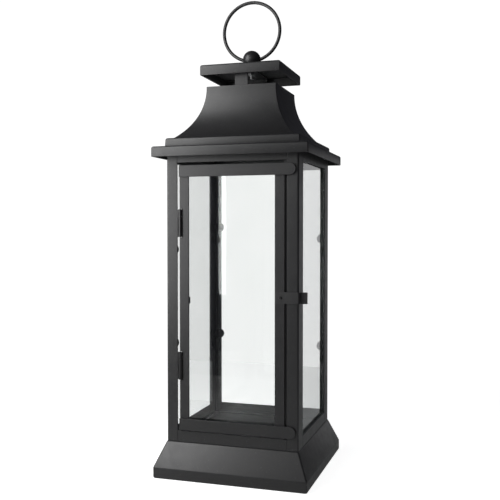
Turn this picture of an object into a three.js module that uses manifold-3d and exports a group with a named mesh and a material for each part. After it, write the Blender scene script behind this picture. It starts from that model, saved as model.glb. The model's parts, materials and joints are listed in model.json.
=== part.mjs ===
// Candle lantern: a square glazed lantern of folded and welded steel sheet on a flared base, with a
// hinged glass door, a curved four-sided roof, a raised vent cap and a ring handle.
// Millimetres, +Z up, door towards -Y. The origin is the middle of the surface that it stands on.
import * as THREE from "three";
import { mergeVertices } from "three/addons/utils/BufferGeometryUtils.js";
import Module from "manifold-3d";

const wasm = await Module();
wasm.setup();

// ---- Driving dimensions -------------------------------------------------------------------------

const SHEET = 1.2; // base, eave, roof and cap
const ANGLE = 1.5; // wall of the angle iron that the frame is welded from
const SEAM = 0.1; // gap left between two pieces that meet
const GLASS = 2; // pane thickness

const base = { half: 80, topHalf: 69.25, lipTop: 11, top: 36.6, hem: 8 };
const floorPad = { half: 58, rise: 0.5, slope: 0.8 }; // pressed up inside the frame, for the candle
const body = { half: 68.75, frontFlange: 11.5, rearFlange: 10.4, sideFlange: 18, bend: 1.8 };
const rail = { sillTop: 47.8, headBottom: 318.9, ledge: 9 };
const eave = { half: 80.65, bottom: 324.4, top: 334.8, opening: 57 };
const roof = {
  skirtHalf: 69.75,
  flare: 0.45, // how much wider the skirt is at its foot
  skirtTop: 343.9,
  shoulder: 64,
  collar: 37.5,
  lip: 1, // straight part above the curve
  top: 399.3,
};
const cap = { half: 42.8, bottom: 410.3, top: 421 };
const strap = { half: 6.9, wall: 1.5, foot: 386, bend: 4 };
const stud = { radius: 2, bottom: 411.5, top: 426.5 };
const nut = { radius: 4, height: 3.2 };
const knob = { radius: 9.5, centre: 432.3, neckRadius: 4.6 };
const ring = { radius: 30.9, wire: 1.75, pivot: 431.5, sag: 0.75, bore: 2.8 };

const door = {
  half: 54.65, // outer edges of the two stiles
  stile: 9.75,
  bar: 2, // thickness of the flat bar
  railHeight: 11.6,
  topRail: 310.1, // middle height of each rail
  bottomRail: 54.8,
  railEnd: 66.2, // tip of the round end that stops on the post
  gap: 0.25, // between a rail and the post that it closes on
  paneHalf: 48.6,
  paneInset: 2, // from the stiles' ends to the pane's
};
const hinge = {
  x: -53.6,
  y: -69.5,
  radius: 1.95,
  bore: 1,
  pin: 0.93,
  pinHead: 1.5,
  headHeight: 0.4,
  height: 27.6,
  split: 0.27, // the upper knuckle's share of the height
  notchGap: 0.2, // between the knuckles and the stile
  postLeaf: 0.75, // thickness
  plate: { near: 0.6, far: 4.4, wall: 0.6, overlap: 1 }, // behind the notch, out from the hinge line
  bridge: 1.2, // thickness of the neck from the post's leaf to its knuckle
};
const hingeMiddles = { upper: 257.9, lower: 113.9 };
const clasp = {
  height: 11.2,
  middle: 185.4,
  wall: 1,
  bend: 1.8, // outer radius where the strip turns round the post
  tabBend: 0.4, // inner radius where it turns out again
  tip: 76.9,
  depth: 3.4, // how far the thumb tab lies behind the strip's face
};
const rivet = { x: 50.6, radius: 1.1, head: 1.5, headHeight: 0.5 };
const doorTab = { height: 6.8, reach: 44.9, inset: 1.4, step: 0.6 };
const doorTabMiddles = { latch: { upper: 262, middle: 180.2, lower: 98 }, hinge: { middle: 180.2 } };
const latchStop = { from: 53.5, to: 58.4, wall: 1 }; // the strip behind the gap on the latch side
const clip = { width: 10.8, wall: 1, clearance: 0.25, grip: 8.4 };
const clipFoot = { rear: { left: 9, right: 9 }, front: { left: 7.3, right: 4.9 } };

// ---- Planes worked out from them ----------------------------------------------------------------

const frameBottom = base.top;
const frameTop = eave.top - SHEET;
const flangeInside = body.half - ANGLE;
const pane = { outer: flangeInside - clip.wall - clip.clearance, half: 62.5, top: 323 };
pane.inner = pane.outer - GLASS;
pane.bottom = frameBottom + ANGLE + SEAM;

// The door is built up from front to back: rails, stiles, glass.
const railBack = -body.half - door.gap;
const railFront = railBack - door.bar;
const stileBack = railBack + door.bar;
const doorPaneBack = stileBack + GLASS;
const stileBottom = door.bottomRail - door.railHeight / 2;
const stileTop = door.topRail + door.railHeight / 2;
const hingeNotch = hinge.x + hinge.radius + hinge.notchGap; // edge of the notch for the knuckles

// ---- Materials ----------------------------------------------------------------------------------

const blackPaint = new THREE.MeshStandardMaterial({ color: 0x232326, roughness: 0.5, metalness: 0.2 });
const blackHardware = new THREE.MeshStandardMaterial({ color: 0x1b1b1e, roughness: 0.42, metalness: 0.4 });
const zincSteel = new THREE.MeshStandardMaterial({ color: 0x9fa2a6, roughness: 0.35, metalness: 1 });
const clearGlass = new THREE.MeshStandardMaterial({
  color: 0xe6f0ee,
  roughness: 0.03,
  metalness: 0,
  transparent: true,
  opacity: 0.25,
});

// ---- Geometry helpers ---------------------------------------------------------------------------

// A closed geometry as a solid that can be joined and cut.
function solidOf(geometry) {
  const bare = geometry.clone();
  bare.deleteAttribute("normal");
  bare.deleteAttribute("uv");
  const merged = mergeVertices(bare, 1e-4);
  return new wasm.Manifold(
    new wasm.Mesh({
      numProp: 3,
      vertProperties: new Float32Array(merged.attributes.position.array),
      triVerts: new Uint32Array(merged.index.array),
    }),
  );
}

// A solid back as a geometry.
function geometryOf(solid) {
  const { vertProperties, triVerts } = solid.getMesh();
  const geometry = new THREE.BufferGeometry();
  geometry.setAttribute("position", new THREE.BufferAttribute(vertProperties, 3));
  geometry.setIndex(new THREE.BufferAttribute(triVerts, 1));
  geometry.computeVertexNormals();
  return geometry;
}

const join = (first, ...others) =>
  geometryOf(others.reduce((sum, other) => sum.add(solidOf(other)), solidOf(first)));
const cut = (first, ...tools) =>
  geometryOf(tools.reduce((left, tool) => left.subtract(solidOf(tool)), solidOf(first)));

// An axis-aligned block between two corners.
function block([x0, y0, z0], [x1, y1, z1]) {
  const geometry = new THREE.BoxGeometry(x1 - x0, y1 - y0, z1 - z0);
  return geometry.translate((x0 + x1) / 2, (y0 + y1) / 2, (z0 + z1) / 2);
}

// An upright prism: its outline is drawn in plan.
function prism(outline, bottom, top, curveSegments = 4) {
  const options = { depth: top - bottom, bevelEnabled: false, curveSegments };
  return new THREE.ExtrudeGeometry(outline, options).translate(0, 0, bottom);
}

// A plate that faces front: its outline is drawn in X and Z, between two planes of Y.
function facingPlate(outline, front, back) {
  const options = { depth: back - front, bevelEnabled: false, curveSegments: 8 };
  return new THREE.ExtrudeGeometry(outline, options).rotateX(Math.PI / 2).translate(0, back, 0);
}

// A bar along X, centred: its section is drawn in Y and Z.
function barAlongX(section, half) {
  const options = { depth: 2 * half, bevelEnabled: false, curveSegments: 4 };
  const geometry = new THREE.ExtrudeGeometry(section, options);
  return geometry.rotateX(Math.PI / 2).rotateZ(Math.PI / 2).translate(-half, 0, 0);
}

// A sheet form that is square in plan at every height. The profile lists [half-width, z], and one that
// doesn't start on the axis is closed back to its first point.
function squareForm(profile) {
  const closed = profile[0][0] === 0 ? profile : [...profile, profile[0]];
  const points = closed.map(([half, z]) => new THREE.Vector2(half * Math.SQRT2, z));
  return new THREE.LatheGeometry(points, 4).rotateX(Math.PI / 2).rotateZ(Math.PI / 4);
}

// A turned piece about the Z axis. The profile lists [radius, z].
function turned(profile, segments) {
  const points = profile.map(([radius, z]) => new THREE.Vector2(radius, z));
  return new THREE.LatheGeometry(points, segments).rotateX(Math.PI / 2);
}

// Points along an arc, as [distance out, height], from one angle to another.
function arcPoints([cx, cz], radius, from, to, steps) {
  return Array.from({ length: steps + 1 }, (_, i) => {
    const angle = from + ((to - from) * i) / steps;
    return [cx + radius * Math.cos(angle), cz + radius * Math.sin(angle)];
  });
}

const polygon = (points) => new THREE.Shape(points.map(([a, b]) => new THREE.Vector2(a, b)));

function piece(name, geometry, material, parent, position = [0, 0, 0], mirror = [1, 1, 1]) {
  const mesh = new THREE.Mesh(geometry, material);
  mesh.name = name;
  mesh.position.set(...position);
  mesh.scale.set(...mirror);
  parent.add(mesh);
  return mesh;
}

// ---- Base and frame -----------------------------------------------------------------------------

// The pressed base: its top is the lantern's floor, and its rim is hemmed inwards.
function baseSkirt() {
  const { half, rise, slope } = floorPad;
  return squareForm([
    [0, base.top + rise - SHEET],
    [half, base.top + rise - SHEET],
    [half + slope, base.top - SHEET],
    [base.topHalf - SHEET, base.top - SHEET],
    [base.half - SHEET, base.lipTop - SHEET / 4],
    [base.half - SHEET, SHEET],
    [base.half - base.hem, SHEET],
    [base.half - base.hem, 0],
    [base.half, 0],
    [base.half, base.lipTop],
    [base.topHalf, base.top],
    [half + slope, base.top],
    [half, base.top + rise],
    [0, base.top + rise],
  ]);
}

// An angle-iron corner post: its outer corner is the origin, and its flanges run along +X and +Y.
function cornerPost(facingFlange) {
  const { sideFlange, bend } = body;
  const shape = new THREE.Shape();
  shape.moveTo(bend, 0);
  shape.lineTo(facingFlange, 0);
  shape.lineTo(facingFlange, ANGLE);
  shape.lineTo(ANGLE, ANGLE);
  shape.lineTo(ANGLE, sideFlange);
  shape.lineTo(0, sideFlange);
  shape.lineTo(0, bend);
  shape.absarc(bend, bend, bend, Math.PI, 1.5 * Math.PI, false);
  return prism(shape, frameBottom, frameTop);
}

// A lower rail of the frame: an upright flange in the plane of the posts, and a ledge at its foot.
function sillRail(flange) {
  const front = -body.half;
  const section = polygon([
    [front, frameBottom],
    [front + rail.ledge, frameBottom],
    [front + rail.ledge, frameBottom + ANGLE],
    [front + ANGLE, frameBottom + ANGLE],
    [front + ANGLE, rail.sillTop],
    [front, rail.sillTop],
  ]);
  return barAlongX(section, body.half - flange - SEAM);
}

// An upper rail: the same angle iron turned over, its ledge under the eave.
function headRail(flange) {
  const front = -body.half;
  const section = polygon([
    [front, rail.headBottom],
    [front + ANGLE, rail.headBottom],
    [front + ANGLE, frameTop - ANGLE],
    [front + rail.ledge, frameTop - ANGLE],
    [front + rail.ledge, frameTop],
    [front, frameTop],
  ]);
  return barAlongX(section, body.half - flange - SEAM);
}

// The strip welded inside the latch post: the door's stile closes in front of it, and it covers the gap.
function latchStopStrip() {
  const { from, to, wall } = latchStop;
  const front = stileBack + 2 * SEAM;
  const bottom = frameBottom + ANGLE + SEAM;
  return block([from, front, bottom], [to, front + wall, frameTop - ANGLE - SEAM]);
}

// The four sides of the frame, with the turn that takes a piece drawn at the front to that side.
const sides = [
  { name: "front", turn: 0, flange: body.frontFlange },
  { name: "right", turn: Math.PI / 2, flange: body.sideFlange },
  { name: "rear", turn: Math.PI, flange: body.rearFlange },
  { name: "left", turn: -Math.PI / 2, flange: body.sideFlange },
];

function buildFrame(parent) {
  piece("base_skirt", baseSkirt(), blackPaint, parent);
  for (const [xName, sx] of [["left", -1], ["right", 1]]) {
    for (const [yName, sy, flange] of [["front", -1, body.frontFlange], ["rear", 1, body.rearFlange]]) {
      const corner = [sx * body.half, sy * body.half, 0];
      piece(`post_${yName}_${xName}`, cornerPost(flange), blackPaint, parent, corner, [-sx, -sy, 1]);
    }
  }
  for (const { name, turn, flange } of sides) {
    piece(`sill_rail_${name}`, sillRail(flange).rotateZ(turn), blackPaint, parent);
    piece(`head_rail_${name}`, headRail(flange).rotateZ(turn), blackPaint, parent);
  }
  piece("latch_stop", latchStopStrip(), blackPaint, parent);
}

// ---- Fixed glazing ------------------------------------------------------------------------------

// A fixed pane, drawn at the front.
const fixedPane = () => block([-pane.half, -pane.outer, pane.bottom], [pane.half, -pane.inner, pane.top]);

// A flat tongue from the origin along +X with a round tip, its thickness from Y = -wall to 0.
function tongue(length) {
  const half = clip.width / 2;
  const round = Math.min(half, length - clip.wall);
  const shape = new THREE.Shape();
  shape.moveTo(0, -half);
  shape.lineTo(length - round, -half);
  shape.absellipse(length - round, 0, round, half, -Math.PI / 2, Math.PI / 2, false);
  shape.lineTo(0, half);
  return facingPlate(shape, -clip.wall, 0);
}

// A glass clip for the left rear corner: one tongue along +X and one along -Y, from the origin.
function glassClip(alongX, alongY) {
  const second = tongue(alongY).rotateZ(-Math.PI / 2).translate(clip.wall, 0, 0);
  return join(tongue(alongX), second);
}

// Each post holds two panes. One clip of a pair lies on the flange that faces front or rear and grips
// the side pane, and the other lies on the side flange and grips the rear pane.
const gripPlane = pane.inner - clip.clearance - SEAM / 2; // the gripping tongue's outer face
const clipLevels = {
  side_rear: { left: [254.3, 129.6], right: [241.4, 120] },
  side_front: { left: [231.6, 137], right: [231.6, 137] },
  rear: { left: [239.4, 116.4], right: [226.5, 105.2] },
};

function buildGlazing(parent) {
  for (const { name, turn } of sides.slice(1)) {
    piece(`pane_${name}`, fixedPane().rotateZ(turn), clearGlass, parent);
  }
  const heights = ["upper", "lower"];
  for (const [side, sx] of [["left", -1], ["right", 1]]) {
    heights.forEach((height, i) => {
      const sideRear = glassClip(clipFoot.rear[side], clip.grip);
      const sideFront = glassClip(clipFoot.front[side], clip.grip);
      const rear = glassClip(clip.grip, clip.grip);
      const inward = [-sx, 1, 1];
      const z = (row) => clipLevels[row][side][i];
      piece(`clip_${side}_pane_rear_${height}`, sideRear, blackHardware, parent,
        [sx * gripPlane, flangeInside, z("side_rear")], inward);
      piece(`clip_${side}_pane_front_${height}`, sideFront, blackHardware, parent,
        [sx * gripPlane, -flangeInside, z("side_front")], [-sx, -1, 1]);
      piece(`clip_rear_pane_${side}_${height}`, rear, blackHardware, parent,
        [sx * flangeInside, gripPlane, z("rear")], inward);
    });
  }
}

// ---- Hinges -------------------------------------------------------------------------------------

// A knuckle about the hinge axis, between two heights.
function knuckle(bottom, top) {
  const shape = new THREE.Shape();
  shape.absarc(hinge.x, hinge.y, hinge.radius, 0, 2 * Math.PI, false);
  const bore = new THREE.Path();
  bore.absarc(hinge.x, hinge.y, hinge.bore, 0, 2 * Math.PI, true);
  shape.holes.push(bore);
  return prism(shape, bottom, top, 10);
}

function hingeHeights(middle) {
  const bottom = middle - hinge.height / 2;
  const top = middle + hinge.height / 2;
  return { bottom, top, split: top - hinge.split * hinge.height };
}

const leafOverlap = 0.3; // how far a leaf reaches into its knuckle's wall
const notchHeadroom = 0.7; // above a hinge, for the pin's head; half as much is left below it

// The post's half: a strip down the flange's edge, a bridge, and the upper knuckle.
function hingePostLeaf(middle) {
  const { bottom, top, split } = hingeHeights(middle);
  const edge = -body.half + body.frontFlange + SEAM / 2;
  const leafBack = -body.half + ANGLE - SEAM;
  const leaf = block([edge, hinge.y, bottom], [edge + hinge.postLeaf, leafBack, top]);
  const reach = hinge.x - hinge.radius + leafOverlap;
  const halfBridge = hinge.bridge / 2;
  const bridge = block([edge, hinge.y - halfBridge, split + SEAM], [reach, hinge.y + halfBridge, top]);
  return join(leaf, bridge, knuckle(split + SEAM, top));
}

// The door's half: the lower knuckle, a leaf that runs back through the stile's notch, and the plate
// behind the stile that the leaf turns into.
function hingeDoorLeaf(middle) {
  const { bottom, top, split } = hingeHeights(middle);
  const { near, far, wall, overlap } = hinge.plate;
  const reach = hinge.x + hinge.radius - leafOverlap;
  const plateFront = stileBack + SEAM;
  const plateBack = plateFront + wall;
  const leaf = block([reach, hinge.y, bottom], [hingeNotch - SEAM, plateBack, split]);
  const plateLow = [hinge.x + near, plateFront, bottom - overlap];
  const plate = block(plateLow, [hinge.x + far, plateBack, top + overlap]);
  return join(knuckle(bottom, split), leaf, plate);
}

// A plain pin with a low head over the upper knuckle.
function hingePin(middle) {
  const { bottom, top } = hingeHeights(middle);
  const end = bottom - 2 * SEAM;
  const headBottom = top + SEAM;
  const headTop = headBottom + hinge.headHeight;
  const pin = turned(
    [
      [0, end],
      [hinge.pin, end],
      [hinge.pin, headBottom],
      [hinge.pinHead, headBottom],
      [hinge.pinHead, headBottom + hinge.headHeight / 2],
      [hinge.pin, headTop],
      [0, headTop],
    ],
    20,
  );
  return pin.translate(hinge.x, hinge.y, 0);
}

// ---- Door ---------------------------------------------------------------------------------------

// A stile with a notch for each hinge on the hinge side, or a rivet hole on the latch side.
function hingeStile() {
  const bar = block([-door.half, railBack, stileBottom], [-door.half + door.stile, stileBack, stileTop]);
  const notches = Object.values(hingeMiddles).map((middle) => {
    const { bottom, top } = hingeHeights(middle);
    const low = [-door.half - 1, railBack - 1, bottom - notchHeadroom / 2];
    return block(low, [hingeNotch, stileBack + 1, top + notchHeadroom]);
  });
  return cut(bar, ...notches);
}

function latchStile() {
  const bar = block([door.half - door.stile, railBack, stileBottom], [door.half, stileBack, stileTop]);
  return cut(bar, claspHole());
}

// A door rail: square at the hinge side, round at the end that stops on the post.
function doorRail(middle) {
  const half = door.railHeight / 2;
  const shape = new THREE.Shape();
  shape.moveTo(-door.half, middle - half);
  shape.lineTo(door.railEnd - half, middle - half);
  shape.absarc(door.railEnd - half, middle, half, -Math.PI / 2, Math.PI / 2, false);
  shape.lineTo(-door.half, middle + half);
  return facingPlate(shape, railFront, railBack);
}

function doorPane() {
  const { paneHalf, paneInset } = door;
  const low = [-paneHalf, stileBack + SEAM, stileBottom + paneInset];
  return block(low, [paneHalf, doorPaneBack, stileTop - paneInset]);
}

// A glass tab on the back of a stile: it steps over the pane's edge. Drawn on the latch side.
function glassTab(middle) {
  const seat = stileBack + SEAM;
  const grip = doorPaneBack + clip.clearance;
  const edge = door.paneHalf + doorTab.step;
  const foot = door.half - doorTab.inset;
  const shape = polygon([
    [foot, seat],
    [foot, seat + clip.wall],
    [edge + clip.wall, seat + clip.wall],
    [edge + clip.wall, grip + clip.wall],
    [doorTab.reach, grip + clip.wall],
    [doorTab.reach, grip],
    [edge, grip],
    [edge, seat],
  ]);
  return prism(shape, middle - doorTab.height / 2, middle + doorTab.height / 2);
}

function claspHole() {
  const radius = rivet.radius + SEAM;
  const hole = new THREE.CylinderGeometry(radius, radius, 4 * door.bar, 12);
  return hole.translate(rivet.x, railBack, clasp.middle);
}

// The clasp: a flat spring strip across the stile and the post's face, bent round the post's corner
// and out again as a thumb tab.
function claspStrip() {
  const { wall, bend, tabBend, tip, depth, height, middle } = clasp;
  const back = railBack - SEAM;
  const front = back - wall;
  const side = body.half + door.gap + SEAM; // inner face beside the post
  const outside = side + wall;
  const tabFront = front + depth;
  const tabBack = tabFront + wall;
  const inner = bend - wall;
  const outerTabBend = tabBend + wall;
  const start = door.half - door.stile;
  const shape = new THREE.Shape();
  shape.moveTo(start, front);
  shape.absarc(outside - bend, front + bend, bend, -Math.PI / 2, 0, false);
  shape.absarc(outside + tabBend, tabFront - tabBend, tabBend, Math.PI, Math.PI / 2, true);
  shape.lineTo(tip, tabFront);
  shape.lineTo(tip, tabBack);
  shape.absarc(side + outerTabBend, tabBack - outerTabBend, outerTabBend, Math.PI / 2, Math.PI, false);
  shape.absarc(side - inner, back + inner, inner, 0, -Math.PI / 2, true);
  shape.lineTo(start, back);
  return cut(prism(shape, middle - height / 2, middle + height / 2), claspHole());
}

// A rivet with a low head on the strip and a tail behind the stile.
function claspRivet() {
  const { radius, head, headHeight } = rivet;
  const front = railBack - clasp.wall - 2 * SEAM;
  const tail = stileBack - front + SEAM;
  const profile = [
    [0, -headHeight],
    [radius, -headHeight],
    [head, 0],
    [radius, 0],
    [radius, tail],
    [head, tail],
    [radius, tail + headHeight],
    [0, tail + headHeight],
  ];
  return turned(profile, 14).rotateX(-Math.PI / 2).translate(rivet.x, front, clasp.middle);
}

function buildDoor(parent) {
  piece("door_stile_hinge", hingeStile(), blackPaint, parent);
  piece("door_stile_latch", latchStile(), blackPaint, parent);
  piece("door_rail_top", doorRail(door.topRail), blackPaint, parent);
  piece("door_rail_bottom", doorRail(door.bottomRail), blackPaint, parent);
  piece("door_pane", doorPane(), clearGlass, parent);
  for (const [side, mirror] of [["latch", 1], ["hinge", -1]]) {
    for (const [height, middle] of Object.entries(doorTabMiddles[side])) {
      const name = `door_tab_${side}_${height}`;
      piece(name, glassTab(middle), blackHardware, parent, [0, 0, 0], [mirror, 1, 1]);
    }
  }
  for (const [height, middle] of Object.entries(hingeMiddles)) {
    piece(`hinge_${height}_post_leaf`, hingePostLeaf(middle), blackHardware, parent);
    piece(`hinge_${height}_door_leaf`, hingeDoorLeaf(middle), blackHardware, parent);
    piece(`hinge_${height}_pin`, hingePin(middle), blackHardware, parent);
  }
  piece("clasp_strip", claspStrip(), blackPaint, parent);
  piece("clasp_rivet", claspRivet(), blackHardware, parent);
}

// ---- Eave, roof and cap -------------------------------------------------------------------------

// The eave: a shallow pan turned upside down over the frame, open in the middle for the warm air.
function eaveTray() {
  return squareForm([
    [eave.half, eave.bottom],
    [eave.half, eave.top],
    [eave.opening, eave.top],
    [eave.opening, eave.top - SHEET],
    [eave.half - SHEET, eave.top - SHEET],
    [eave.half - SHEET, eave.bottom],
  ]);
}

// The roof: a straight skirt, a narrow shoulder, then a hollow curve that ends upright at the collar.
function roofShell() {
  const collarFoot = roof.top - roof.lip;
  const rise = collarFoot - roof.skirtTop;
  const run = roof.shoulder - roof.collar;
  const radius = (rise * rise + run * run) / (2 * run);
  const centre = [roof.collar + radius, collarFoot];
  const end = Math.PI + Math.asin(rise / radius);
  const outer = arcPoints(centre, radius, end, Math.PI, 12);
  const inner = arcPoints(centre, radius + SHEET, Math.PI, end, 12);
  return squareForm([
    [roof.skirtHalf + roof.flare, eave.top],
    [roof.skirtHalf, roof.skirtTop],
    ...outer,
    [roof.collar, roof.top],
    [roof.collar - SHEET, roof.top],
    ...inner,
    [roof.skirtHalf - SHEET, roof.skirtTop - SHEET],
    [roof.skirtHalf - SHEET + roof.flare, eave.top],
  ]);
}

// The strap that carries the cap: an upside-down U, its legs inside the collar's front and rear walls.
function capStrap() {
  const top = cap.top - SHEET - SEAM;
  const out = roof.collar - SHEET - SEAM;
  const { wall, foot, bend } = strap;
  const shape = new THREE.Shape();
  shape.moveTo(-out, foot);
  shape.lineTo(-out + wall, foot);
  shape.lineTo(-out + wall, top - bend);
  shape.absarc(-out + bend, top - bend, bend - wall, Math.PI, Math.PI / 2, true);
  shape.absarc(out - bend, top - bend, bend - wall, Math.PI / 2, 0, true);
  shape.lineTo(out - wall, foot);
  shape.lineTo(out, foot);
  shape.absarc(out - bend, top - bend, bend, 0, Math.PI / 2, false);
  shape.absarc(-out + bend, top - bend, bend, Math.PI / 2, Math.PI, false);
  return cut(barAlongX(shape, strap.half), studHole());
}

function studHole() {
  const radius = stud.radius + SEAM;
  const hole = new THREE.CylinderGeometry(radius, radius, 3 * knob.radius, 16).rotateX(Math.PI / 2);
  return hole.translate(0, 0, cap.top - knob.radius);
}

function capPan() {
  const pan = squareForm([
    [0, cap.top - SHEET],
    [cap.half - SHEET, cap.top - SHEET],
    [cap.half - SHEET, cap.bottom],
    [cap.half, cap.bottom],
    [cap.half, cap.top],
    [0, cap.top],
  ]);
  return cut(pan, studHole());
}

function knobStud() {
  const { radius, bottom, top } = stud;
  return turned([[0, bottom], [radius, bottom], [radius, top], [0, top]], 16);
}

// The nut under the strap that draws the cap, strap and knob together.
function studNut() {
  const top = cap.top - SHEET - 2 * SEAM - strap.wall;
  const hexagon = new THREE.CylinderGeometry(nut.radius, nut.radius, nut.height, 6);
  return cut(hexagon.rotateX(Math.PI / 2).translate(0, 0, top - nut.height / 2), studHole());
}

// The ball knob: a short neck, a ball, a blind hole for the stud and a cross hole for the ring.
function ballKnob() {
  const { radius, centre, neckRadius } = knob;
  const start = -Math.acos(neckRadius / radius);
  const foot = cap.top + SEAM;
  const blindHole = stud.radius + SEAM;
  const ball = turned(
    [
      [0, stud.top + SEAM],
      [blindHole, stud.top + SEAM],
      [blindHole, foot],
      [neckRadius, foot],
      ...arcPoints([0, centre], radius, start, Math.PI / 2, 12).slice(0, -1),
      [0, centre + radius],
    ],
    28,
  );
  const cross = new THREE.CylinderGeometry(ring.bore, ring.bore, 3 * radius, 20);
  return cut(ball, cross.rotateZ(Math.PI / 2).translate(0, 0, ring.pivot));
}

function handleRing() {
  const torus = new THREE.TorusGeometry(ring.radius, ring.wire, 10, 56);
  return torus.rotateX(Math.PI / 2).translate(0, 0, ring.pivot - ring.sag + ring.radius);
}

function buildRoof(parent) {
  piece("eave_tray", eaveTray(), blackPaint, parent);
  piece("roof_shell", roofShell(), blackPaint, parent);
  piece("cap_strap", capStrap(), blackPaint, parent);
  piece("cap_pan", capPan(), blackPaint, parent);
  piece("knob_stud", knobStud(), zincSteel, parent);
  piece("stud_nut", studNut(), zincSteel, parent);
  piece("ball_knob", ballKnob(), blackPaint, parent);
  piece("handle_ring", handleRing(), blackPaint, parent);
}

// ---- Assembly -----------------------------------------------------------------------------------

const lantern = new THREE.Group();
for (const build of [buildFrame, buildGlazing, buildDoor, buildRoof]) {
  const group = new THREE.Group();
  build(group);
  lantern.add(group);
}

export default lantern;
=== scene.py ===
"""Looks of the candle lantern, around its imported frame.

Lengths are in millimetres up to the point where a mesh is made, which is in metres. The folded sheet
forms, the ball knob and the ring are built here from the boxes of their CAD nodes. The bars, panes and
small fittings are their CAD nodes, with their edges eased by modifiers.
"""

import json
import math

import bmesh
import bpy
from mathutils import Matrix, Vector


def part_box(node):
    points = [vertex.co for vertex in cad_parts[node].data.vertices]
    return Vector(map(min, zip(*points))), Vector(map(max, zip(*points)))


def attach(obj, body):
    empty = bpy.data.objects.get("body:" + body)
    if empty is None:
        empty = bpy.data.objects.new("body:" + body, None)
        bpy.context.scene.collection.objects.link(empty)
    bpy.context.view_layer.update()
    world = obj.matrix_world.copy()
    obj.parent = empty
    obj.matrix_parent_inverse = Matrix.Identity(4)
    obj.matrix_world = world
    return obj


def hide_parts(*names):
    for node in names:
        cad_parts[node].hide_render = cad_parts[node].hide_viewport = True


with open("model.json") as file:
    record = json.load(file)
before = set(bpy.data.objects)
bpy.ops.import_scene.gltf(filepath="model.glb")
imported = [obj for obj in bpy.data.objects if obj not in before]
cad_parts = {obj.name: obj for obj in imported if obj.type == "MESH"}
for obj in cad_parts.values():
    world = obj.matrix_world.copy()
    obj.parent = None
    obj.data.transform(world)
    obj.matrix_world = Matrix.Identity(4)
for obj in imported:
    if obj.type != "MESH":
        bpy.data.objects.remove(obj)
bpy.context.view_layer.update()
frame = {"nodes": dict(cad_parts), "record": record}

MM = 0.001
RECORD = frame["record"]
BODY_OF = {n: body for body, names in RECORD["behaviour"]["bodies"].items() for n in names}
SLOT_OF = {row["node"]: row["material_slot"] for row in RECORD["subparts"]}


def box(node):
    """(lowest corner, highest corner) of a CAD node in millimetres."""
    low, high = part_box(node)
    return low / MM, high / MM


# ---- Dimensions in millimetres ----------------------------------------------------------------------

SHEET = 1.2  # base, eave, roof and cap
BEND = 1.5  # radius along the middle of the sheet where it is folded
CORNER = 1.1  # outer radius of an upright corner
HUB = 4.0  # half-width of the square in the middle of a level panel

BASE_TOP_HALF = 69.25
BASE_LIP_TOP = 11.0
BASE_HEM = 8.0
BASE_FLOOR = 36.6  # height of the base's top outside the raised pad
PAD_HALF = 58.0
PAD_SLOPE = 0.8
EAVE_OPENING = 57.0  # half-width of the hole under the roof
ROOF_COLLAR = 37.5  # outer half-width of the collar at the top of the roof
ROOF_SHOULDER = 64.0
ROOF_SKIRT_TOP = 343.9
ROOF_FLARE = 0.45
ROOF_LIP = 1.0
KNOB_RADIUS = 9.5
KNOB_NECK = 4.6
STUD_HOLE = 2.1
STUD_HOLE_END = 5.7  # how far below the knob's centre the blind hole ends
RING_HOLE = 2.8
RING_MOUTH = 0.8  # how far the ring's hole is rounded out at each end
RING_WIRE = 1.75
RING_PIVOT = 431.5
EDGE = 0.28  # how far a cut edge of a bar is eased
FINE_EDGE = 0.15  # the same on hinges, clips, tabs and rivets
PANE_EDGE = 0.25


# ---- Mesh helpers -----------------------------------------------------------------------------------


def add_piece(name, vertices, faces, smooth_below=32):
    """A mesh object from points in millimetres, its faces pointing out."""
    mesh = bpy.data.meshes.new(name)
    mesh.from_pydata([Vector(v) * MM for v in vertices], [], faces)
    work = bmesh.new()
    work.from_mesh(mesh)
    bmesh.ops.recalc_face_normals(work, faces=work.faces)
    work.to_mesh(mesh)
    work.free()
    mesh.shade_smooth()
    mesh.set_sharp_from_angle(angle=math.radians(smooth_below))
    piece = bpy.data.objects.new(name, mesh)
    bpy.context.scene.collection.objects.link(piece)
    return piece


def stand_for(piece, node):
    """The piece takes the place of a CAD node, with its body, slot and material."""
    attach(piece, BODY_OF[node])
    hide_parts(node)
    piece.data.materials.append(MATERIALS[SLOT_OF[node]])
    return piece


def rounded(points, step=math.radians(10)):
    """An open line of (a, b) or (a, b, radius) points, with an arc in place of each rounded corner."""
    made = []
    for i, point in enumerate(points):
        here = Vector(point[:2])
        if len(point) == 2:
            made.append(here)
            continue
        back = (Vector(points[i - 1][:2]) - here).normalized()
        ahead = (Vector(points[i + 1][:2]) - here).normalized()
        radius, angle = point[2], back.angle(ahead)
        start = here + back * (radius / math.tan(angle / 2))
        centre = here + (back + ahead).normalized() * (radius / math.sin(angle / 2))
        spoke = start - centre
        turn = math.copysign(math.pi - angle, back.cross(ahead))
        steps = max(2, math.ceil(abs(turn) / step))
        for k in range(steps + 1):
            made.append(centre + Matrix.Rotation(-turn * k / steps, 2) @ spoke)
    return made


def sheet_outline(line, thickness, corner):
    """The outline of a sheet from the line along its middle, its ends rounded. Each point is
    (half-width, height, corner radius). The line starts inside and ends outside, so its left side,
    seen along it, is the outer face."""
    count = len(line)
    directions = [
        (line[min(i + 1, count - 1)] - line[max(i - 1, 0)]).normalized() for i in range(count)
    ]
    half = thickness / 2

    def side(sign, radius):
        return [
            (*(p + Vector((-d.y, d.x)) * sign * half), radius) for p, d in zip(line, directions)
        ]

    def rim(point, direction, steps=4):
        left = Vector((-direction.y, direction.x)) * half
        made = []
        for k in range(1, steps):
            turned = Matrix.Rotation(-math.pi * k / steps, 2) @ left
            made.append((*(point + turned), corner - thickness * k / steps))
        return made

    inner = max(corner - thickness, 0.2)
    outline = side(1, corner) + rim(line[-1], directions[-1])
    return outline, list(reversed(side(-1, inner))), rim(line[0], -directions[0])


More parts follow.
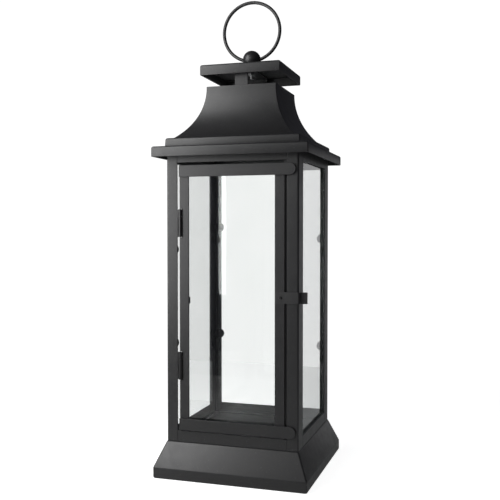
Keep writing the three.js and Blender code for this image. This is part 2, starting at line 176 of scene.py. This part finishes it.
def square_ring(half, z, corner, steps=5):
    """Points round a square with rounded corners."""
    corner = min(corner, half)
    straight = half - corner
    ring = []
    for quarter in range(4):
        across = math.pi / 4 + quarter * math.pi / 2
        cx = math.copysign(straight, math.cos(across))
        cy = math.copysign(straight, math.sin(across))
        for k in range(steps + 1):
            angle = (quarter + k / steps) * math.pi / 2
            ring.append((cx + corner * math.cos(angle), cy + corner * math.sin(angle), z))
    return ring


def square_sheet(name, line, corner=CORNER, thickness=SHEET):
    """Folded sheet that is square in plan at every height, from the line along the middle of the sheet.
    A line that starts on the level panel's hub is closed there by a face on each side."""
    level = line[0][0] <= HUB
    outer, inner, last_rim = sheet_outline(rounded(line), thickness, corner)
    outline = outer + inner + ([] if level else last_rim)
    rings = [square_ring(*point) for point in outline]
    around = len(rings[0])
    vertices = [point for ring in rings for point in ring]
    faces = []
    for i in range(len(rings) - 1 if level else len(rings)):
        first, second = i * around, (i + 1) % len(rings) * around
        for k in range(around):
            following = (k + 1) % around
            faces.append((first + k, first + following, second + following, second + k))
    if level:
        faces.append(tuple(range(around)))
        faces.append(tuple(range(len(vertices) - around, len(vertices))))
    return add_piece(name, vertices, faces)


def lathe(name, profile, segments=72):
    """A turned piece about the Z axis, from (radius, z) points that start and end on the axis."""
    vertices, rows = [], []
    for radius, z in profile:
        if radius == 0:
            rows.append([len(vertices)] * segments)
            vertices.append((0, 0, z))
            continue
        rows.append([len(vertices) + k for k in range(segments)])
        for k in range(segments):
            angle = 2 * math.pi * k / segments
            vertices.append((radius * math.cos(angle), radius * math.sin(angle), z))
    faces = []
    for low, high in zip(rows, rows[1:]):
        for k in range(segments):
            following = (k + 1) % segments
            corners = (low[k], low[following], high[following], high[k])
            faces.append(tuple(dict.fromkeys(corners)))
    return add_piece(name, vertices, faces)


def tube(name, centre_line, radius, segments=20):
    """A closed loop of round wire along a flat centre line in the XZ plane."""
    vertices, faces = [], []
    count = len(centre_line)
    for i, (x, z) in enumerate(centre_line):
        ahead, behind = centre_line[(i + 1) % count], centre_line[i - 1]
        along = Vector((ahead[0] - behind[0], 0, ahead[1] - behind[1])).normalized()
        outward = along.cross(Vector((0, 1, 0)))
        for k in range(segments):
            angle = 2 * math.pi * k / segments
            offset = outward * radius * math.cos(angle) + Vector((0, radius * math.sin(angle), 0))
            vertices.append(Vector((x, 0, z)) + offset)
    for i in range(count):
        for k in range(segments):
            following = (k + 1) % segments
            first, second = i * segments, (i + 1) % count * segments
            faces.append((first + k, first + following, second + following, second + k))
    return add_piece(name, vertices, faces)


def ease_edges(piece, width, segments=2):
    """Rounds a bar's cut edges. The mesh is first joined at its corners and freed of flat triangles."""
    for name in ("custom_normal", "sharp_face", "sharp_edge"):
        attribute = piece.data.attributes.get(name)
        if attribute:
            piece.data.attributes.remove(attribute)
    piece.data.shade_smooth()
    weld = piece.modifiers.new("join_corners", "WELD")
    weld.merge_threshold = 1e-6
    flat = piece.modifiers.new("flat_faces", "DECIMATE")
    flat.decimate_type = "DISSOLVE"
    flat.angle_limit = math.radians(0.5)
    bevel = piece.modifiers.new("eased_edges", "BEVEL")
    bevel.width = width * MM
    bevel.segments = segments
    bevel.limit_method = "ANGLE"
    bevel.angle_limit = math.radians(35)
    bevel.miter_outer = "MITER_ARC"
    normals = piece.modifiers.new("even_shading", "WEIGHTED_NORMAL")
    normals.keep_sharp = False
    normals.weight = 100


# ---- Material helpers -------------------------------------------------------------------------------


def new_material(name):
    """An empty node material and its output node."""
    material = bpy.data.materials.new(name)
    material.use_nodes = True
    material.node_tree.nodes.clear()
    output = material.node_tree.nodes.new("ShaderNodeOutputMaterial")
    return material, output


def add_node(tree, kind, inputs=None, **settings):
    """A node with its settings. An input that is a socket is linked, and any other is a value."""
    node = tree.nodes.new(kind)
    for name, value in settings.items():
        setattr(node, name, value)
    for name, value in (inputs or {}).items():
        if isinstance(value, bpy.types.NodeSocket):
            tree.links.new(value, node.inputs[name])
        else:
            node.inputs[name].default_value = value
    return node


def object_place(tree):
    """The point on the object, in metres: a piece's own coordinates are the lantern's."""
    return add_node(tree, "ShaderNodeTexCoord").outputs["Object"]


def noise(tree, place, size, detail=2.0, roughness=0.5):
    """Noise whose features are about size millimetres across, from 0 to 1."""
    inputs = {"Vector": place, "Scale": 1 / (size * MM), "Detail": detail, "Roughness": roughness}
    return add_node(tree, "ShaderNodeTexNoise", inputs).outputs["Fac"]


def spread(tree, value, low, high, start=0.3, end=0.7):
    """A value between start and end, spread from low to high."""
    inputs = {"Value": value, "From Min": start, "From Max": end, "To Min": low, "To Max": high}
    return add_node(tree, "ShaderNodeMapRange", inputs).outputs["Result"]


def mixed(tree, share, first, second):
    """A colour between two, each a colour or a socket."""
    node = add_node(tree, "ShaderNodeMix", data_type="RGBA")
    colour_inputs = {"Factor": node.inputs[0], "A": node.inputs[6], "B": node.inputs[7]}
    for name, value in (("Factor", share), ("A", first), ("B", second)):
        if isinstance(value, bpy.types.NodeSocket):
            tree.links.new(value, colour_inputs[name])
        else:
            colour_inputs[name].default_value = value
    return node.outputs[2]


def bump(tree, height, distance, below=None):
    """A bump of that many millimetres from a height of 0 to 1, on top of another if there is one."""
    inputs = {"Height": height, "Distance": distance * MM, "Strength": 1.0}
    if below is not None:
        inputs["Normal"] = below
    return add_node(tree, "ShaderNodeBump", inputs).outputs["Normal"]


def worn_edge(tree, radius):
    """0 on a flat face, up to 1 on an outer edge or corner of about that radius in millimetres."""
    soft = add_node(tree, "ShaderNodeBevel", {"Radius": radius * MM}, samples=4).outputs["Normal"]
    sharp = add_node(tree, "ShaderNodeNewGeometry").outputs["Normal"]
    inputs = {0: soft, 1: sharp}
    facing = add_node(tree, "ShaderNodeVectorMath", inputs, operation="DOT_PRODUCT").outputs["Value"]
    return spread(tree, facing, 0.0, 1.0, start=0.99, end=0.86)


def grey(value, blue=1.0):
    return (value, value, value * blue, 1)


# ---- Materials --------------------------------------------------------------------------------------


def painted_steel(name, depth, rough, peel):
    """Satin powder coat: orange peel, a slow ripple of the sheet, dust, and thin paint along the edges."""
    material, output = new_material(name)
    tree = material.node_tree
    place = object_place(tree)
    clouds = noise(tree, place, 55, detail=3)
    mottle = noise(tree, place, 4, detail=4)
    colour = mixed(tree, spread(tree, clouds, 0, 1), grey(depth, 1.05), grey(depth * 1.3, 1.02))
    colour = mixed(tree, spread(tree, mottle, 0, 0.35), colour, grey(depth * 1.7))
    dust = noise(tree, place, 0.9, detail=1)
    colour = mixed(tree, spread(tree, dust, 0, 0.3, start=0.70, end=0.76), colour, grey(0.16))
    thin = worn_edge(tree, 0.5)
    colour = mixed(tree, spread(tree, thin, 0, 0.5, start=0, end=1), colour, grey(depth * 3))
    roughness = spread(tree, noise(tree, place, 9, detail=4), rough - 0.035, rough + 0.035)
    normal = bump(tree, noise(tree, place, 90, detail=1), 0.12)
    normal = bump(tree, noise(tree, place, peel, detail=2), 0.006, normal)
    inputs = {"Base Color": colour, "Roughness": roughness, "Normal": normal, "IOR": 1.5}
    surface = add_node(tree, "ShaderNodeBsdfPrincipled", inputs)
    tree.links.new(surface.outputs["BSDF"], output.inputs["Surface"])
    return material


def clear_glass(name):
    """Float glass with a faint green body, a slight waviness and a film of dust. Light from the lamps
    passes through it, dimmed."""
    material, output = new_material(name)
    tree = material.node_tree
    place = object_place(tree)
    film = noise(tree, place, 30, detail=4)
    inputs = {
        "Base Color": mixed(tree, spread(tree, film, 0, 1), (0.985, 0.995, 0.99, 1), (0.965, 0.98, 0.972, 1)),
        "Roughness": spread(tree, film, 0.0, 0.02),
        "Normal": bump(tree, noise(tree, place, 60, detail=0), 0.01),
        "IOR": 1.5,
        "Transmission Weight": 1.0,
    }
    glass = add_node(tree, "ShaderNodeBsdfPrincipled", inputs)
    passing = add_node(tree, "ShaderNodeBsdfTransparent", {"Color": (0.84, 0.87, 0.86, 1)})
    path = add_node(tree, "ShaderNodeLightPath")
    inputs = {0: path.outputs["Is Shadow Ray"], 1: glass.outputs["BSDF"], 2: passing.outputs["BSDF"]}
    both = add_node(tree, "ShaderNodeMixShader", inputs)
    tree.links.new(both.outputs["Shader"], output.inputs["Surface"])
    return material


def zinc_plate(name):
    """Bright zinc-plated steel, with fine turning marks and a patchy bloom."""
    material, output = new_material(name)
    tree = material.node_tree
    place = object_place(tree)
    bloom = noise(tree, place, 2.5, detail=4)
    colour = mixed(tree, spread(tree, bloom, 0, 1), (0.5, 0.51, 0.53, 1), (0.62, 0.62, 0.6, 1))
    stretched = add_node(tree, "ShaderNodeMapping", {"Vector": place, "Scale": (1, 1, 30)})
    marks = noise(tree, stretched.outputs["Vector"], 4, detail=2)
    inputs = {
        "Base Color": colour,
        "Metallic": 1.0,
        "Roughness": spread(tree, bloom, 0.28, 0.45),
        "Normal": bump(tree, marks, 0.01),
    }
    surface = add_node(tree, "ShaderNodeBsdfPrincipled", inputs)
    tree.links.new(surface.outputs["BSDF"], output.inputs["Surface"])
    return material


MATERIALS = {
    "black_paint": painted_steel("powder_coat", depth=0.011, rough=0.40, peel=0.9),
    "black_hardware": painted_steel("hardware_paint", depth=0.007, rough=0.36, peel=0.6),
    "clear_glass": clear_glass("pane_glass"),
    "zinc_steel": zinc_plate("zinc_plate"),
}


# ---- Folded sheet forms -----------------------------------------------------------------------------


def build_base():
    """The base: a raised pad, the level top, the flared side, the upright lip and the hem under it."""
    _, high = box("base_skirt")
    half = SHEET / 2
    wall = high.x - half
    pad, floor = high.z - half, BASE_FLOOR - half
    line = [
        (HUB, pad),
        (PAD_HALF, pad, BEND / 2),
        (PAD_HALF + PAD_SLOPE, floor, BEND / 2),
        (BASE_TOP_HALF - half, floor, BEND),
        (wall, BASE_LIP_TOP, 2 * BEND),
        (wall, half, SHEET),
        (high.x - BASE_HEM + half, half),
    ]
    stand_for(square_sheet("base_pressing", line, corner=1.5 * CORNER), "base_skirt")


def build_eave():
    """The eave: an upright rim and a level panel that ends at the opening under the roof."""
    low, high = box("eave_tray")
    half = SHEET / 2
    wall, top = high.x - half, high.z - half
    opening = EAVE_OPENING + half
    line = [(opening, top), (wall, top, BEND), (wall, low.z + half)]
    stand_for(square_sheet("eave_pressing", line), "eave_tray")


def roof_line():
    """The line along the middle of the roof's sheet, from the collar down to the skirt's foot."""
    low, high = box("roof_shell")
    half = SHEET / 2
    skirt = high.x - ROOF_FLARE
    arc_top = high.z - ROOF_LIP
    rise, run = arc_top - ROOF_SKIRT_TOP, ROOF_SHOULDER - ROOF_COLLAR
    radius = (rise**2 + run**2) / (2 * run)
    start, end = math.pi, math.pi + math.asin(rise / radius)
    steps = 36
    arc = []
    for k in range(steps + 1):
        angle = start + (end - start) * k / steps
        reach = radius + half
        arc.append((ROOF_COLLAR + radius + reach * math.cos(angle), arc_top + reach * math.sin(angle)))
    shelf = ROOF_SKIRT_TOP - half
    return [
        (ROOF_COLLAR - half, high.z - half),
        *arc[:-2],
        (arc[-1][0], shelf, 1.0),
        (skirt - half, shelf, BEND),
        (high.x - half, low.z + half),
    ]


def build_roof():
    stand_for(square_sheet("roof_pressing", roof_line(), corner=0.9 * CORNER), "roof_shell")


def build_cap():
    """The vent cap: a level top and an upright rim."""
    low, high = box("cap_pan")
    half = SHEET / 2
    line = [(HUB, high.z - half), (high.x - half, high.z - half, BEND), (high.x - half, low.z + half)]
    stand_for(square_sheet("cap_pressing", line), "cap_pan")


# ---- Knob and ring ----------------------------------------------------------------------------------


def build_knob():
    """The ball knob on its neck, bored from below for the stud and across for the ring."""
    low, high = box("ball_knob")
    centre = high.z - KNOB_RADIUS
    start = -math.acos(KNOB_NECK / KNOB_RADIUS)
    steps = 30
    hole_end = centre - STUD_HOLE_END
    profile = [(0, hole_end), (STUD_HOLE, hole_end), (STUD_HOLE, low.z), (KNOB_NECK, low.z)]
    for k in range(steps):
        angle = start + (math.pi / 2 - start) * k / steps
        profile.append((KNOB_RADIUS * math.cos(angle), centre + KNOB_RADIUS * math.sin(angle)))
    profile.append((0, high.z))
    knob = lathe("turned_knob", profile)
    reach = KNOB_RADIUS + 1
    bore = [(0, -reach), (RING_HOLE + RING_MOUTH, -reach)]
    flare = math.sqrt(KNOB_RADIUS**2 - RING_HOLE**2)
    mouth_steps = 6
    for k in range(mouth_steps + 1):
        angle = math.pi / 2 * k / mouth_steps
        across = RING_HOLE + RING_MOUTH * (1 - math.sin(angle))
        bore.append((across, -flare + RING_MOUTH * (1 - math.cos(angle))))
    bore += [(radius, -z) for radius, z in reversed(bore[1:])] + [(0, reach)]
    cutter = lathe("ring_bore", bore, 48)
    cutter.data.transform(Matrix.Translation((0, 0, RING_PIVOT * MM)) @ Matrix.Rotation(math.pi / 2, 4, "Y"))
    cut = knob.modifiers.new("ring_bore", "BOOLEAN")
    cut.object = cutter
    cut.solver = "EXACT"
    bpy.context.view_layer.update()
    evaluated = knob.evaluated_get(bpy.context.evaluated_depsgraph_get())
    bored = bpy.data.meshes.new_from_object(evaluated)
    knob.modifiers.clear()
    knob.data = bored
    bpy.data.objects.remove(cutter)
    knob.data.shade_smooth()
    knob.data.set_sharp_from_angle(angle=math.radians(40))
    stand_for(knob, "ball_knob")


def build_ring():
    """The ring handle: one turn of round wire."""
    low, high = box("handle_ring")
    centre = (low.z + high.z) / 2
    radius = (high.z - low.z) / 2 - RING_WIRE
    steps = 128
    line = [
        (radius * math.cos(2 * math.pi * k / steps), centre + radius * math.sin(2 * math.pi * k / steps))
        for k in range(steps)
    ]
    stand_for(tube("wire_ring", line, RING_WIRE), "handle_ring")


# ---- CAD nodes that stay ----------------------------------------------------------------------------


def finish_cad_nodes():
    """Every CAD node that is still shown gets its material and eased edges."""
    for name, node in frame["nodes"].items():
        if node.hide_render:
            continue
        slot = SLOT_OF[name]
        node.data.materials.clear()
        node.data.materials.append(MATERIALS[slot])
        if slot == "clear_glass":
            ease_edges(node, PANE_EDGE, segments=1)
        elif slot == "black_paint" and "clasp" not in name:
            ease_edges(node, EDGE)
        else:
            ease_edges(node, FINE_EDGE)


# ---- Studio -----------------------------------------------------------------------------------------

TABLE_HALF = 0.59
BACKDROP = 1.06
DIM_ROOM = 0.055  # the studio as the lantern's surfaces see it, away from the lamps
TABLE_GLOW = 0.93  # as seen directly or through glass
TABLE_SHEEN = 0.15  # as lit onto the lantern and mirrored in it

# Each lamp's place is its azimuth and elevation in degrees and its distance from the point it aims at.
# The key is a tall softbox on the left, the fill is a square one in front, and the card stands far
# behind on the right, where the right pane and the sides mirror it.
KEY = {
    "azimuth": -44.3,
    "elevation": 0,
    "distance": 0.494,
    "width": 0.3,
    "height": 0.77,
    "watts": 4.6,
    "aim": (0, 0, 0.515),
}
FILL = {
    "azimuth": -14,
    "elevation": 22,
    "distance": 1.2,
    "width": 0.7,
    "height": 0.7,
    "watts": 1.8,
    "aim": (0, 0, 0.33),
}
CARD = {
    "azimuth": 164.4,
    "elevation": 8,
    "distance": 1.04,
    "width": 0.17,
    "height": 0.52,
    "watts": 0.21,
    "aim": (0.066, 0, 0.005),
}
CAMERA = {"azimuth": 17.574, "pitch": 1.469, "distance": 0.82315, "lens": 55.29, "sensor": 36}
CAMERA_AIM = Vector((0, 0, 0.2297))
CAMERA_SHIFT = 0.00197  # how far left of that point it aims


def seen_directly(tree):
    """One for a ray that comes straight from the camera or through glass, nought after a reflection."""
    path = add_node(tree, "ShaderNodeLightPath")
    bounces = add_node(
        tree,
        "ShaderNodeMath",
        {0: path.outputs["Diffuse Depth"], 1: path.outputs["Glossy Depth"]},
        operation="ADD",
    )
    seen = add_node(tree, "ShaderNodeMath", {0: bounces.outputs["Value"], 1: 0.5}, operation="LESS_THAN")
    return seen.outputs["Value"]


def build_table():
    """A plain pale light table. Its far edge is as bright as the backdrop."""
    low = [(-TABLE_HALF, -TABLE_HALF, 0), (TABLE_HALF, -TABLE_HALF, 0)]
    high = [(TABLE_HALF, TABLE_HALF, 0), (-TABLE_HALF, TABLE_HALF, 0)]
    table = add_piece("light_table", [Vector(p) / MM for p in low + high], [(0, 1, 2, 3)])
    material, output = new_material("table_white")
    tree = material.node_tree
    grain = noise(tree, object_place(tree), 300, detail=1)
    inputs = {0: seen_directly(tree), 1: TABLE_GLOW - TABLE_SHEEN, 2: TABLE_SHEEN}
    glow = add_node(tree, "ShaderNodeMath", inputs, operation="MULTIPLY_ADD")
    inputs = {
        "Base Color": mixed(tree, spread(tree, grain, 0, 1), grey(0.50), grey(0.53)),
        "Roughness": 0.7,
        "Emission Color": grey(1.0),
        "Emission Strength": glow.outputs["Value"],
    }
    surface = add_node(tree, "ShaderNodeBsdfPrincipled", inputs)
    tree.links.new(surface.outputs["BSDF"], output.inputs["Surface"])
    table.data.materials.append(material)


def build_world():
    """A white backdrop for what is seen directly or through glass, and a dim studio for the rest."""
    world = bpy.data.worlds.new("studio")
    bpy.context.scene.world = world
    world.use_nodes = True
    tree = world.node_tree
    tree.nodes.clear()
    output = tree.nodes.new("ShaderNodeOutputWorld")
    backdrop = add_node(tree, "ShaderNodeBackground", {"Color": grey(1.0), "Strength": BACKDROP})
    studio = add_node(tree, "ShaderNodeBackground", {"Color": grey(DIM_ROOM, 1.15), "Strength": 1.0})
    inputs = {0: seen_directly(tree), 1: studio.outputs["Background"], 2: backdrop.outputs["Background"]}
    both = add_node(tree, "ShaderNodeMixShader", inputs)
    tree.links.new(both.outputs["Shader"], output.inputs["Surface"])


def softbox(name, azimuth, elevation, distance, width, height, watts, aim):
    """A soft rectangular lamp that the camera doesn't see. Azimuth 0 is in front and 90 on the right."""
    lamp = bpy.data.lights.new(name, "AREA")
    lamp.shape = "RECTANGLE"
    lamp.size, lamp.size_y, lamp.energy = width, height, watts
    a, e = math.radians(azimuth), math.radians(elevation)
    back = Vector((math.sin(a) * math.cos(e), -math.cos(a) * math.cos(e), math.sin(e)))
    made = bpy.data.objects.new(name, lamp)
    made.location = Vector(aim) + back * distance
    made.rotation_mode = "QUATERNION"
    made.rotation_quaternion = back.to_track_quat("Z", "Y")
    made.visible_camera = False
    made.visible_transmission = False
    bpy.context.scene.collection.objects.link(made)
    return made


def build_camera():
    """The camera: in front, to the right and a little above the middle, looking slightly down."""
    azimuth, pitch = math.radians(CAMERA["azimuth"]), math.radians(CAMERA["pitch"])
    right = Vector((math.cos(azimuth), math.sin(azimuth), 0))
    back = Vector(
        (math.sin(azimuth) * math.cos(pitch), -math.cos(azimuth) * math.cos(pitch), math.sin(pitch))
    )
    camera = bpy.data.objects.new("camera", bpy.data.cameras.new("camera"))
    camera.data.lens = CAMERA["lens"]
    camera.data.sensor_width = CAMERA["sensor"]
    camera.data.clip_start = 0.05
    camera.location = CAMERA_AIM - right * CAMERA_SHIFT + back * CAMERA["distance"]
    camera.rotation_mode = "QUATERNION"
    camera.rotation_quaternion = back.to_track_quat("Z", "Y")
    bpy.context.scene.collection.objects.link(camera)
    bpy.context.scene.camera = camera


def build_studio():
    scene = bpy.context.scene
    scene.view_settings.view_transform = "Standard"
    scene.cycles.use_denoising = True
    build_world()
    build_table()
    build_camera()
    key = softbox("key", **KEY)
    key.visible_transmission = True  # the rear pane mirrors it, seen through the door's glass
    softbox("fill", **FILL)
    softbox("card", **CARD)


# ---- Assembly ---------------------------------------------------------------------------------------

build_base()
build_eave()
build_roof()
build_cap()
build_knob()
build_ring()
finish_cad_nodes()
build_studio()
